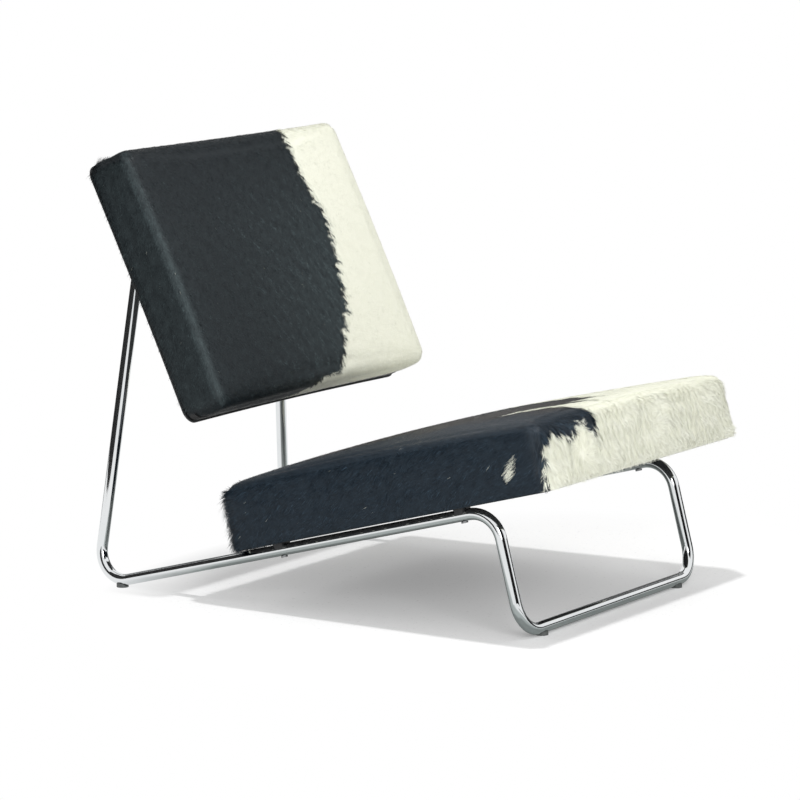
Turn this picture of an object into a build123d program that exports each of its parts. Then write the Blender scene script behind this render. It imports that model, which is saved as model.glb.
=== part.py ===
from build123d import *
import os
from math import cos, radians, sin, sqrt, tan

# Low lounge chair: one bent chrome tube carries an upholstered seat and an upholstered back.
# Sizes are in millimetres and angles in degrees. The sitter faces -Y, and Z is up.
# The origin is on the floor under the middle of the chair.

# Tube frame
tube_diameter = 20.0
tube_wall = 2.0
bend_radius = 50.0  # of the tube's centre line
rail_length = 834.0  # from the knee corner to the rear corner
rail_slope = 15.0  # front end high; the front legs stand square to the rails
upright_length = 642.0  # from the rear corner to the top corner
upright_forward_lean = 3.9
upright_inward_lean = 8.1
tube_end_gap = 0.4  # the tube's two ends meet in the middle of the top bar
sleeve_length = 90.0  # inner sleeve that joins the two ends
sleeve_wall = 1.5
sleeve_clearance = 0.1

# Glides under the floor bar and under the rear bends
glide_height = 3.0  # from the floor to the underside of the tube
glide_diameter = 21.0
glide_cheek = 4.0  # how far the glide climbs the tube
glide_inset = 62.0  # from the floor bar's corner

# Seat cushion, square to the rails
seat_width = 645.0
seat_length = 640.0
seat_rim = 112.0  # height of the sides, with the board and the underside
seat_crown = 19.0  # how much higher the middle is than the rim
seat_overhang = 131.0  # of the front edge past the knee corner
rail_inset = 35.0  # of the rails' centre lines from the seat's sides
seat_gap = 2.5  # between the tube and the underside of the seat

# Back cushion, hung on the top bar
back_width = 648.0
back_length = 474.0
back_rim = 86.0  # thickness at the sides, with the board and the rear panel
back_crown = 13.0
back_recline = 26.0
back_bar_drop = 101.0  # of the top bar, from the upper edge of the back

# Upholstery layers
corner_round = 24.0  # of the cushions' plan
rim_round = 20.0  # of the edge round the crowned side
rim_bulge = 5.0  # how much higher the rim is between its corners
foot_chamfer = 5.0  # of the edge round the flat side
least_round = 2.0  # of any inner layer
side_draw = 3.0  # how far each side draws in between its corners
outer_facets = 3  # of the hide's rounded edge
inner_facets = 2
form_clearance = 1.0  # by which the loft across stands clear of the crown of the loft along
hide_thickness = 3.0
hide_return = 24.0  # turned over the board's edge
board_thickness = 15.0
cloth_thickness = 1.0
cloth_inset = 12.0
panel_thickness = 3.0
panel_inset = 1.0  # its edge shows as a dark line below the back
layer_gap = 0.3

# Seat fixings: a screw from under the tube, through a saddle, into the board
front_fixing = 12.0  # behind the end of the knee bend
rear_fixing = 79.0  # before the seat's rear edge
saddle_length = 20.0
saddle_foot_length = 14.0
saddle_depth = 9.5
saddle_cheek = 2.0
touch_gap = 0.1  # between a moulded or welded piece and the tube that it hugs

# Hexagon-head screws
screw_diameter = 6.0
screw_hole_play = 0.5
screw_grip = 0.1  # play of the screw in the board
screw_head_flats = 10.0
screw_head_height = 3.0
screw_depth = 12.0  # in the board

# Brackets that carry the back: plates welded to the top bar, each with two screws
bracket_spacing = 220.0
bracket_width = 44.0
bracket_height = 100.0
bracket_thickness = 5.0
bracket_chamfer = 8.0
bracket_hole_pitch = 68.0
weld_width = 36.0
weld_foot = 30.0
weld_crest = 23.0
weld_depth = 6.0


def mirrored(point):
    """The same point or direction on the other side of the chair."""
    return Vector(-point.X, point.Y, point.Z)


# Directions of the frame's runs
frame_width = seat_width - 2 * rail_inset
tube_radius = tube_diameter / 2
slope = radians(rail_slope)
rail_forward = Vector(0, -cos(slope), sin(slope))
rail_normal = Vector(0, sin(slope), cos(slope))
inward = -tan(radians(upright_inward_lean))
forward = -tan(radians(upright_forward_lean))
upright_up = Vector(inward, forward, 1).normalized()

# Rear bend on the +X side, measured from the corner that it rounds
bend_half_angle = radians(rail_forward.get_angle(upright_up)) / 2
bend_normal = rail_forward.cross(upright_up).normalized()
bend_centre = (rail_forward + upright_up).normalized() * (bend_radius / sin(bend_half_angle))
bend_down = (bend_normal * bend_normal.Z - Vector(0, 0, 1)).normalized()
bend_lowest = bend_centre + bend_down * bend_radius
bend_rearmost = bend_centre.Y + bend_radius * sqrt(1 - bend_normal.Y**2)

# Heights: the floor bar and the rear bends are equally high, which sets the length of the legs
floor_line = glide_height + tube_radius
rear_corner_height = floor_line - bend_lowest.Z
knee_height = rear_corner_height + rail_length * sin(slope)
leg_length = (knee_height - floor_line) / cos(slope)

# Lengthways place: the origin is midway between the seat's front edge and the rear bends
seat_lift = tube_radius + seat_gap
knee_reach = leg_length * sin(slope)
foot_height = seat_lift + cloth_thickness + foot_chamfer
front_reach = knee_reach - seat_overhang * cos(slope) + foot_height * sin(slope)
rear_reach = knee_reach + rail_length * cos(slope) + bend_rearmost + tube_radius
foot_place = -(front_reach + rear_reach) / 2

# Corners of the tube's centre line on the +X side
foot_corner = Vector(frame_width / 2, foot_place, floor_line)
knee_corner = foot_corner + rail_normal * leg_length
rear_corner = knee_corner - rail_forward * rail_length
top_corner = rear_corner + upright_up * upright_length

# Frames of the two cushions: X across, Y along, Z towards the crowned side
seat_origin = knee_corner + rail_forward * seat_overhang + rail_normal * seat_lift
seat_plane = Plane(origin=(0, seat_origin.Y, seat_origin.Z), x_dir=(1, 0, 0), z_dir=rail_normal)
recline = radians(back_recline)
back_up = Vector(0, sin(recline), cos(recline))
back_front = Vector(0, -cos(recline), sin(recline))
bar_behind_back = bracket_thickness + tube_radius
back_bar_height = back_length - back_bar_drop
back_origin = top_corner - back_up * back_bar_height + back_front * bar_behind_back
back_plane = Plane(origin=(0, back_origin.Y, back_origin.Z), x_dir=(1, 0, 0), z_dir=back_front)

# Places of the fixings, in the cushions' frames
seat_spots = [
    (side * frame_width / 2, along)
    for side in (-1, 1)
    for along in (seat_overhang + bend_radius + front_fixing, seat_length - rear_fixing)
]
back_spots = [
    (side * bracket_spacing / 2, back_bar_height + end * bracket_hole_pitch / 2)
    for side in (-1, 1)
    for end in (-1, 1)
]

saddle_names = ("front_right_saddle", "rear_right_saddle", "front_left_saddle", "rear_left_saddle")

# Places of the glides, and the way that the tube runs over them
rear_glide_x = rear_corner.X + bend_lowest.X
rear_glide_y = rear_corner.Y + bend_lowest.Y
rear_heading = bend_normal.cross(bend_down)
glide_spots = {
    "front_left_glide": (frame_width / 2 - glide_inset, foot_corner.Y, Vector(1, 0, 0)),
    "front_right_glide": (glide_inset - frame_width / 2, foot_corner.Y, Vector(1, 0, 0)),
    "rear_left_glide": (rear_glide_x, rear_glide_y, rear_heading),
    "rear_right_glide": (-rear_glide_x, rear_glide_y, mirrored(rear_heading)),
}

# Levels in the cushions, from the flat side up
layer_inset = hide_thickness + layer_gap
seat_board_top = cloth_thickness + board_thickness
back_board_top = panel_thickness + board_thickness
tube_underside = -(seat_gap + tube_diameter)
seat_screw_tip = cloth_thickness + screw_depth
back_screw_tip = panel_thickness + screw_depth

# Fits
screw_hole = screw_diameter + screw_hole_play
tube_bore = tube_diameter - 2 * tube_wall
bore_length = sleeve_length + 2 * sleeve_clearance
hug_diameter = tube_diameter + 2 * touch_gap
hug_length = 5 * tube_diameter
saddle_width = tube_diameter + 2 * (touch_gap + saddle_cheek)

os.makedirs("parts", exist_ok=True)


def finish(builder, name):
    """Label a finished piece and write it."""
    builder.part.label = name
    export_step(builder.part, f"parts/{name}.step")


def tube_run():
    """Centre line of the whole tube, from one end in the top bar round to the other."""
    half = [top_corner, rear_corner, knee_corner, foot_corner]
    other_half = [mirrored(corner) for corner in reversed(half)]
    start = Vector(tube_end_gap / 2, top_corner.Y, top_corner.Z)
    FilletPolyline(start, *half, *other_half, mirrored(start), radius=bend_radius)


def plan(plane, width, length, inset, corner=corner_round):
    """Plan of a cushion or of a layer inset in it: four drawn-in sides and rounded corners."""
    side = width / 2 - inset
    low = inset
    high = length - inset
    with BuildSketch(plane) as outline:
        with BuildLine():
            ThreePointArc((-side, low), (0, low + side_draw), (side, low))
            ThreePointArc((side, low), (side - side_draw, length / 2), (side, high))
            ThreePointArc((side, high), (0, high - side_draw), (-side, high))
            ThreePointArc((-side, high), (side_draw - side, length / 2), (-side, low))
        make_face()
        fillet(outline.vertices(), max(corner, least_round))
    return outline.sketch


def lengthways(plane, x, y):
    """Plane along a cushion at a spot, with the cushion's Y and Z as its own X and Y."""
    return Plane(plane.from_local_coords(Vector(x, y, 0)), x_dir=plane.y_dir, z_dir=plane.x_dir)


def crossways(plane, x, y):
    """Plane across a cushion at a spot, with the cushion's X and Z as its own X and Y."""
    return Plane(plane.from_local_coords(Vector(x, y, 0)), x_dir=plane.x_dir, z_dir=-plane.y_dir)


def section(plane, reach, base, foot, edge, crest, facets, inset):
    """Section of a cushion: chamfered foot, walls, shoulders in facets and an arc for the crown."""
    turn = max(rim_round - inset, least_round)
    side = [(reach - foot, base), (reach, base + foot)] if foot else [(reach, base)]
    for step in range(facets + 1):
        angle = radians(90 * step / facets)
        side.append((reach - turn * (1 - cos(angle)), edge - turn * (1 - sin(angle))))
    other_side = [(-x, y) for x, y in reversed(side)]
    with BuildSketch(plane) as face:
        with BuildLine():
            Polyline(*other_side, *side)
            ThreePointArc(side[-1], (0, crest), other_side[0])
        make_face()
    return face.sketch


def cushion(plane, width, length, rim, crown, base, foot, facets, inset):
    """Crowned block with drawn-in sides: a loft along and a loft across, with rounded corners."""
    x_reach = width / 2 - inset
    y_reach = length / 2 - inset
    edge = rim - inset
    lift = form_clearance
    along = []
    over = []
    end = (0, edge, edge + rim_bulge)
    middle = (side_draw, edge + rim_bulge, edge + crown)
    for place, (draw, rise, crest) in zip((-1, 0, 1), (end, middle, end)):
        cut = lengthways(plane, place * x_reach, length / 2)
        along.append(section(cut, y_reach - draw, base, foot, rise, crest, facets, inset))
        cut = crossways(plane, 0, length / 2 + place * (y_reach + lift))
        raised = (rise + lift, crest + lift)
        over.append(section(cut, x_reach - draw, base - lift, foot + lift, *raised, facets, inset))
    with BuildPart() as block:
        loft(along)
        loft(over, mode=Mode.INTERSECT)
        with BuildSketch(plane.offset(base - lift)):
            with Locations((0, length / 2)):
                corner = max(corner_round - inset, least_round) + lift
                RectangleRounded(2 * (x_reach + lift), 2 * (y_reach + lift), corner)
        extrude(amount=rim + crown, mode=Mode.INTERSECT)
    return block.part


def hide(plane, width, length, rim, crown, level):
    """Hide pulled over a cushion from the given level up and turned over the board's edge."""
    form = (plane, width, length, rim, crown)
    outside = cushion(*form, level, foot_chamfer, outer_facets, 0)
    inside = cushion(*form, level + hide_thickness, 0, inner_facets, hide_thickness)
    window = plan(plane.offset(level), width, length, hide_return, corner_round - hide_return)
    with BuildPart() as cover:
        add(outside)
        add(inside, mode=Mode.SUBTRACT)
        extrude(window, amount=hide_thickness, mode=Mode.SUBTRACT)
    return cover


def foam(plane, width, length, rim, crown, level):
    """Foam block on the board, whose top is at the given level."""
    form = (plane, width, length, rim, crown)
    block = cushion(*form, level + layer_gap, 0, inner_facets, layer_inset)
    with BuildPart() as core:
        add(block)
    return core


def board(plane, width, length, level, spots):
    """Plywood board at the given level, its edge rebated for the turned-over hide."""
    rebate = level + layer_inset
    top = level + board_thickness
    corner = corner_round - layer_inset
    with BuildPart() as sheet:
        extrude(plan(plane.offset(rebate), width, length, layer_inset, corner), amount=top - rebate)
        window = hide_return + layer_gap
        middle = plan(plane.offset(level), width, length, window, corner_round - window)
        extrude(middle, amount=rebate - level)
        drill(plane.offset(level), spots, screw_diameter + 2 * screw_grip, screw_depth + screw_grip)
    return sheet


def liner(plane, width, length, inset, thickness, spots):
    """Thin sheet that closes the flat side of a cushion."""
    with BuildPart() as sheet:
        extrude(plan(plane, width, length, inset, corner_round - inset), amount=thickness)
        drill(plane, spots, screw_hole, thickness)
    return sheet


def discs(plane, spots, diameter):
    """Equal round faces at spots on a plane."""
    with BuildSketch(plane) as faces:
        with Locations(*spots):
            Circle(diameter / 2)
    return faces.sketch


def drill(plane, spots, diameter, depth):
    """Cut round holes of one depth from a plane, along its normal."""
    extrude(discs(plane, spots, diameter), amount=depth, mode=Mode.SUBTRACT)


def screws(plane, spots, bearing, tip):
    """Hexagon-head screws, from the head's bearing face up to the tip."""
    with BuildPart() as fasteners:
        extrude(discs(plane.offset(bearing), spots, screw_diameter), amount=tip - bearing)
        with BuildSketch(plane.offset(bearing)):
            with Locations(*spots):
                RegularPolygon(screw_head_flats / 2, 6, major_radius=False)
        extrude(amount=-screw_head_height)
    return fasteners


def trapezoid(plane, start, depth, foot_length, crest_length):
    """Face that narrows from its foot, a little below the plane's zero height, down to its crest."""
    with BuildSketch(plane) as face:
        Polygon(
            (-foot_length / 2, -start),
            (-crest_length / 2, -start - depth),
            (crest_length / 2, -start - depth),
            (foot_length / 2, -start),
            align=None,
        )
    return face.sketch


def hug(point, direction):
    """Cut the room of a straight piece of tube whose centre line passes a point."""
    start = Plane(point - direction * (hug_length / 2), z_dir=direction)
    drill(start, [(0, 0)], hug_diameter, hug_length)


# Tube frame: closed all along, so only the joint in the top bar shows its bore
with BuildPart() as frame_tube:
    with BuildLine() as centre_line:
        tube_run()
    with BuildSketch(Plane(centre_line.line @ 0, z_dir=centre_line.line % 0)):
        Circle(tube_radius)
    sweep()
    bore_start = Plane((-bore_length / 2, top_corner.Y, top_corner.Z), z_dir=(1, 0, 0))
    drill(bore_start, [(0, 0)], tube_bore, bore_length)
    drill(seat_plane, seat_spots, screw_hole, -(seat_gap + 2 * tube_diameter))
finish(frame_tube, "frame_tube")

# Sleeve inside the top bar
with BuildPart() as frame_joint_sleeve:
    sleeve_start = Plane((-sleeve_length / 2, top_corner.Y, top_corner.Z), z_dir=(1, 0, 0))
    sleeve_diameter = tube_bore - 2 * sleeve_clearance
    extrude(discs(sleeve_start, [(0, 0)], sleeve_diameter), amount=sleeve_length)
    drill(sleeve_start, [(0, 0)], sleeve_diameter - 2 * sleeve_wall, sleeve_length)
finish(frame_joint_sleeve, "frame_joint_sleeve")

# Glides: a round foot with a shallow groove for the tube
for name, (x, y, heading) in glide_spots.items():
    with BuildPart() as glide:
        extrude(discs(Plane.XY, [(x, y)], glide_diameter), amount=glide_height + glide_cheek)
        hug(Vector(x, y, floor_line), heading)
    finish(glide, name)

# Seat: foam and board inside the hide, and a thin cloth that closes the underside
seat_size = (seat_plane, seat_width, seat_length)
seat_form = (*seat_size, seat_rim, seat_crown)
finish(hide(*seat_form, cloth_thickness), "seat_cover")
finish(foam(*seat_form, seat_board_top), "seat_foam")
finish(board(*seat_size, cloth_thickness, seat_spots), "seat_board")
finish(liner(*seat_size, cloth_inset, cloth_thickness, seat_spots), "seat_underside_cloth")
finish(screws(seat_plane, seat_spots, tube_underside, seat_screw_tip), "seat_screws")

# Saddles between the rails and the seat
for name, spot in zip(saddle_names, seat_spots):
    with BuildPart() as saddle:
        middle = lengthways(seat_plane, *spot)
        block = trapezoid(middle, 0, saddle_depth, saddle_length, saddle_foot_length)
        extrude(block, amount=saddle_width / 2, both=True)
        hug(seat_plane.from_local_coords(Vector(*spot, -seat_lift)), rail_forward)
        drill(seat_plane, [spot], screw_hole, -seat_lift)
    finish(saddle, name)

# Back: foam and board inside the hide, closed behind by a thin panel
back_size = (back_plane, back_width, back_length)
back_form = (*back_size, back_rim, back_crown)
finish(hide(*back_form, panel_thickness), "back_cover")
finish(foam(*back_form, back_board_top), "back_foam")
finish(board(*back_size, panel_thickness, back_spots), "back_board")
finish(liner(*back_size, panel_inset, panel_thickness, back_spots), "back_rear_panel")
finish(screws(back_plane, back_spots, -bracket_thickness, back_screw_tip), "back_screws")

# Brackets: a plate against the rear panel, with a welded cradle round the top bar
for name, side in (("right_back_bracket", -1), ("left_back_bracket", 1)):
    spot = (side * bracket_spacing / 2, back_bar_height)
    with BuildPart() as bracket:
        with BuildSketch(back_plane) as plate:
            with Locations(spot):
                Rectangle(bracket_width, bracket_height)
            chamfer(plate.vertices(), bracket_chamfer)
        extrude(amount=-bracket_thickness)
        middle = lengthways(back_plane, *spot)
        cradle = trapezoid(middle, bracket_thickness, weld_depth, weld_foot, weld_crest)
        extrude(cradle, amount=weld_width / 2, both=True)
        hug(Vector(spot[0], top_corner.Y, top_corner.Z), Vector(1, 0, 0))
        drill(back_plane, back_spots, screw_hole, -bracket_thickness)
    finish(bracket, name)
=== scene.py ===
"""Looks for the lounge chair: two hair-on hide cushions on a chromed tube, in a white studio."""

import math

import bpy
import numpy as np
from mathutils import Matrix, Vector


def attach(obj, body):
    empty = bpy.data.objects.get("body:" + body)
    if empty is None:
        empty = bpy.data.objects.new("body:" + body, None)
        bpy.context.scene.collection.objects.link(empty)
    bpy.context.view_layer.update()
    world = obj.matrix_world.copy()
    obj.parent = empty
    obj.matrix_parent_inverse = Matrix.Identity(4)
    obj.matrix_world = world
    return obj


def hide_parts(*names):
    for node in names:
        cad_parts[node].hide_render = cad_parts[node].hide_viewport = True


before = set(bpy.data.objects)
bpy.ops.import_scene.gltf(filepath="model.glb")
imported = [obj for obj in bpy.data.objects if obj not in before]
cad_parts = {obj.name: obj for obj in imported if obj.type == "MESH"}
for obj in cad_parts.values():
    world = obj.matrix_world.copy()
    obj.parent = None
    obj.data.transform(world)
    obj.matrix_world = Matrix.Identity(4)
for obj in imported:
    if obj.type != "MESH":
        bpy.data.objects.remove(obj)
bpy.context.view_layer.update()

scene = bpy.context.scene
scene.view_settings.view_transform = "Standard"

# Lengths are in metres. Each cushion has its own frame, as the solids have it: x across the chair, y along the
# cushion from the seat's front edge or the back's lower edge, and z up its padding. The photo shows the -x side.
SEAT = {
    "origin": (0, -0.46793, 0.25852),
    "along": (0, 0.965926, -0.258819),
    "up": (0, 0.258819, 0.965926),
    "size": (0.645, 0.640),
    "base": 0.001,
    "rim": 0.112,
    "crown": 0.019,
}
BACK = {
    "origin": (0, 0.24073, 0.30216),
    "along": (0, 0.438371, 0.898794),
    "up": (0, -0.898794, 0.438371),
    "size": (0.648, 0.474),
    "base": 0.003,
    "rim": 0.086,
    "crown": 0.013,
}
# The faces of a pad, towards +x, -x, +y, -y and +z. The back's front end is its lower edge.
FAR_SIDE, NEAR_SIDE, REAR_END, FRONT_END, TOP = range(5)


def axes(pad):
    """The pad's frame as a 3 x 3 of rows and its origin."""
    return np.array([(1, 0, 0), pad["along"], pad["up"]], float), np.array(pad["origin"], float)


def to_world(pad, points):
    """Points of the pad's frame in the chair's."""
    rows, origin = axes(pad)
    return points @ rows + origin


def to_pad(pad, points):
    """Points of the chair's frame in the pad's."""
    rows, origin = axes(pad)
    return (points - origin) @ rows.T


def rise(x, start, end):
    """0 at the start, 1 at the end and even in between. With the end below the start it falls as x grows."""
    return np.clip((x - start) / (end - start), 0, 1)


def unit(rows):
    """Rows scaled to length one."""
    return rows / (np.linalg.norm(rows, axis=1, keepdims=True) + 1e-9)


def ripple(points, size, seed, waves=7):
    """A smooth random field of about unit spread, as a sum of plane waves about size long."""
    rng = np.random.default_rng(seed)
    k = rng.normal(size=(waves, points.shape[1]))
    k *= 2 * math.pi / size * rng.uniform(0.6, 1.7, (waves, 1)) / np.linalg.norm(k, axis=1, keepdims=True)
    return np.sin(points @ k.T + rng.uniform(0, 2 * math.pi, waves)).sum(1) / math.sqrt(waves / 2)


def new_mesh(name, verts, faces):
    """An object in the scene, from points and faces."""
    mesh = bpy.data.meshes.new(name)
    mesh.from_pydata(verts, [], faces)
    mesh.update()
    obj = bpy.data.objects.new(name, mesh)
    scene.collection.objects.link(obj)
    return obj


def taken(obj):
    """A new mesh of the object as its modifiers leave it."""
    bpy.context.view_layer.update()
    return bpy.data.meshes.new_from_object(obj.evaluated_get(bpy.context.evaluated_depsgraph_get()))


def settle(obj):
    """Puts the modified mesh in place of the object's own, with no modifier left."""
    mesh = taken(obj)
    obj.modifiers.clear()
    obj.data = mesh


def read(mesh, what):
    """The mesh's point positions ("co") or normals ("normal")."""
    flat = np.empty(len(mesh.vertices) * 3, np.float32)
    mesh.vertices.foreach_get(what, flat)
    return flat.reshape(-1, 3).astype(float)


def put(mesh, co):
    """Moves the mesh's points."""
    mesh.vertices.foreach_set("co", co.astype(np.float32).ravel())
    mesh.update()


# Cushions

CORNER = 0.024  # radius of the plan's corners
CORNER_POINTS, SIDE_STEPS = 9, 30
LEAST_ROUND = 0.002  # of a corner that is set in
SIDE_DRAW = 0.003  # how far each side draws in between its corners
SIDE_BAND = 0.02  # points this near a side draw in with it
FOOT = 0.004  # round of the edge at the flat side
FOOT_HEIGHT = 0.020  # up to which the sides stand straight
RIM_ROUND = 0.020  # of the edge at the crowned side
BULGE = 0.005  # how much higher the rim is between its corners
CROWN_RINGS = 14
CROWN_FROM, CROWN_TO = 0.02, 0.006  # where they start inside the rim's round, and end short of the middle
PILE = 0.0012  # by which the skin lies under the solid's surface, for the hair
BACK_TUCK = 0.010  # how far the back's lower edge is drawn in, so that its board and panel show
TUCK_REACH, TUCK_HEIGHT = 0.06, 0.04
VOXEL = 0.006
CLOTH_FRAMES = 20
HELD_HEIGHT = 0.006  # below which the cloth is pinned
PUFF_MOST, PUFF_EASE = 0.0035, 0.005  # how far the puff goes, and how soon it gets there
PUFF_HEIGHT = 0.045  # over which it sets in
SMOOTH_FROM, SMOOTH_TO = 0.010, 0.035  # heights over which the smoothing sets in
SEAM_DEPTH, SEAM_WIDTH = 0.0028, 0.0032
SEAM_END, SEAM_FADE = 0.004, 0.012  # how far past the rim a seam ends, and how long it fades


def ring(pad, inset, draw=SIDE_DRAW):
    """The pad's plan outline, drawn in along each side and set in from the edge, in pad x and y."""
    w, l = (s / 2 - inset for s in pad["size"])
    r = max(CORNER - inset, LEAST_ROUND)
    corners = []
    for sx, sy, turn in ((1, 1, 0), (-1, 1, 90), (-1, -1, 180), (1, -1, 270)):
        a = np.radians(turn + np.linspace(0, 90, CORNER_POINTS))
        corners += [(sx * (w - r) + r * math.cos(t), sy * (l - r) + r * math.sin(t)) for t in a]
    corners = np.array(corners)
    full = []
    for i, (p, q) in enumerate(zip(corners, np.roll(corners, -1, 0))):
        steps = SIDE_STEPS if i % CORNER_POINTS == CORNER_POINTS - 1 else 1
        full += [p + (q - p) * j / steps for j in range(steps)]
    full = np.array(full)
    across, along = 1 - (full[:, 0] / w) ** 2, 1 - (full[:, 1] / l) ** 2
    full[:, 0] -= np.sign(full[:, 0]) * draw * along * (np.abs(full[:, 0]) > w - SIDE_BAND)
    full[:, 1] -= np.sign(full[:, 1]) * draw * across * (np.abs(full[:, 1]) > l - SIDE_BAND)
    full[:, 1] += pad["size"][1] / 2
    return full


def top_height(pad, xy):
    """Height of the crowned side over places in the plan."""
    w, l = pad["size"]
    u = np.clip(1 - (2 * xy[:, 0] / w) ** 2, 0, 1)
    v = np.clip(1 - (2 * xy[:, 1] / l - 1) ** 2, 0, 1)
    return pad["rim"] + BULGE * (u + v) + (pad["crown"] - 2 * BULGE) * u * v


def stacked(pad):
    """Outlines from the flat side, up the sides and over the rim to the middle of the crown."""
    base = pad["base"]
    layers = []
    for inset, z in ((FOOT, 0), (FOOT / 3, FOOT / 3), (0, FOOT), (0, FOOT_HEIGHT)):
        xy = ring(pad, inset, 0)
        if pad is BACK:
            xy[:, 1] += BACK_TUCK * rise(xy[:, 1], TUCK_REACH, 0) * (1 - z / TUCK_HEIGHT)
        layers.append(np.column_stack([xy, np.full(len(xy), base + z)]))
    for share in (0.5, 0.8):
        xy = ring(pad, PILE)
        top = top_height(pad, xy) - PILE - RIM_ROUND
        layers.append(np.column_stack([xy, base + FOOT + share * (top - base - FOOT)]))
    for turn in range(0, 91, 10):
        a = math.radians(turn)
        xy = ring(pad, PILE + RIM_ROUND * (1 - math.cos(a)))
        layers.append(np.column_stack([xy, top_height(pad, xy) - PILE - RIM_ROUND * (1 - math.sin(a))]))
    for inset in np.linspace(RIM_ROUND + CROWN_FROM, min(pad["size"]) / 2 - PILE - CROWN_TO, CROWN_RINGS):
        xy = ring(pad, PILE + inset)
        layers.append(np.column_stack([xy, top_height(pad, xy) - PILE]))
    return layers


def closed(layers):
    """Points and faces of the stack, with a fan of triangles over each end."""
    n = len(layers[0])
    last = n * (len(layers) - 1)
    verts = np.vstack(layers + [layers[0].mean(0)[None], layers[-1].mean(0)[None]])
    faces = []
    for j in range(n):
        k = (j + 1) % n
        faces += [[i * n + j, i * n + k, (i + 1) * n + k, (i + 1) * n + j] for i in range(len(layers) - 1)]
        faces += [[k, j, len(verts) - 2], [last + j, last + k, len(verts) - 1]]
    return verts, faces


def puffed(pad, obj):
    """Where the skin's points go when it is blown up as cloth: outward only, and not far."""
    rest = read(obj.data, "co")
    low = to_pad(pad, rest)[:, 2] < pad["base"] + HELD_HEIGHT
    held = obj.vertex_groups.new(name="held")
    held.add(np.flatnonzero(low).tolist(), 1.0, "REPLACE")
    cloth = obj.modifiers.new("cloth", "CLOTH")
    s = cloth.settings
    s.quality = 4
    s.mass = 0.4
    s.tension_stiffness = s.compression_stiffness = 20
    s.shear_stiffness = 8
    s.bending_stiffness = 2
    s.vertex_group_mass = "held"
    s.use_pressure = True
    s.uniform_pressure_force = 2
    s.effector_weights.gravity = 0
    cloth.collision_settings.use_collision = False
    for f in range(1, CLOTH_FRAMES + 1):
        scene.frame_set(f)
    blown = read(taken(obj), "co")
    scene.frame_set(1)
    obj.modifiers.clear()
    out = read(obj.data, "normal")
    above = rise(to_pad(pad, rest)[:, 2:], pad["base"], pad["base"] + PUFF_HEIGHT)
    puff = ((blown - rest) * out).sum(1, keepdims=True).clip(0)
    return rest + out * above * PUFF_MOST * np.tanh(puff / PUFF_EASE)


def seamed(pad, p):
    """The skin drawn in along the stitched seam at each of the four upright corners."""
    w, l = (s / 2 - CORNER for s in pad["size"])
    out = np.stack([np.abs(p[:, 0]) - w, np.abs(p[:, 1] - pad["size"][1] / 2) - l], 1)
    reach = np.linalg.norm(out, axis=1)
    turn = np.arctan2(out[:, 1], out[:, 0]) - math.pi / 4
    at_corner = (out.min(1) > 0) & (reach > CORNER / 2)
    end = pad["rim"] + SEAM_END
    height = rise(p[:, 2], end, end - SEAM_FADE)
    depth = SEAM_DEPTH * np.exp(-((turn * reach / SEAM_WIDTH) ** 2)) * at_corner * height
    inward = out / np.maximum(reach, 1e-9)[:, None]
    inward *= np.sign(np.stack([p[:, 0], p[:, 1] - pad["size"][1] / 2], 1))
    moved = p.copy()
    moved[:, :2] -= inward * depth[:, None]
    return moved


def cushion(name, pad):
    """A crowned box cushion: stacked outlines, remeshed, blown up a little as cloth, smoothed and seamed."""
    verts, faces = closed(stacked(pad))
    obj = new_mesh(name, to_world(pad, verts).tolist(), faces)
    remesh = obj.modifiers.new("voxels", "REMESH")
    remesh.mode = "VOXEL"
    remesh.voxel_size = VOXEL
    settle(obj)
    co = puffed(pad, obj)
    put(obj.data, co)
    free = obj.vertex_groups.new(name="free")
    weights = rise(to_pad(pad, co)[:, 2], pad["base"] + SMOOTH_FROM, pad["base"] + SMOOTH_TO)
    for i, weight in enumerate(weights):
        free.add([i], weight, "REPLACE")
    smooth = obj.modifiers.new("smooth", "SMOOTH")
    smooth.factor, smooth.iterations, smooth.vertex_group = 0.5, 6, "free"
    settle(obj)
    local = to_pad(pad, read(obj.data, "co"))
    local[:, 2] = np.maximum(local[:, 2], pad["base"])
    put(obj.data, to_world(pad, seamed(pad, local)))
    obj.data.shade_smooth()
    return obj


# The hide: black and white patches, and which way the hair lies

# Edge of the black on the back's crowned side, as y and x, and how far its corners are rounded along y
BACK_EDGE = [(-0.10, -0.012), (0.0, -0.015), (0.025, 0.046), (0.07, 0.070), (0.13, 0.114), (0.20, 0.130),
             (0.283, 0.155), (0.33, 0.140), (0.40, 0.131), (0.474, 0.141), (0.60, 0.142)]
BACK_EDGE_ROUND = (-0.016, -0.008, 0, 0.008, 0.016)
TOOTH_PITCH, TOOTH_REACH = 0.021, 0.011
# The same edge on the back's lower side, as z and x, and on its upper side, as x at the rim and a slant
BACK_UNDER = [(0.0, -0.135), (0.03, -0.085), (0.06, -0.045), (0.086, -0.020)]
BACK_OVER, OVER_SLANT = 0.141, 0.30
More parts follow.
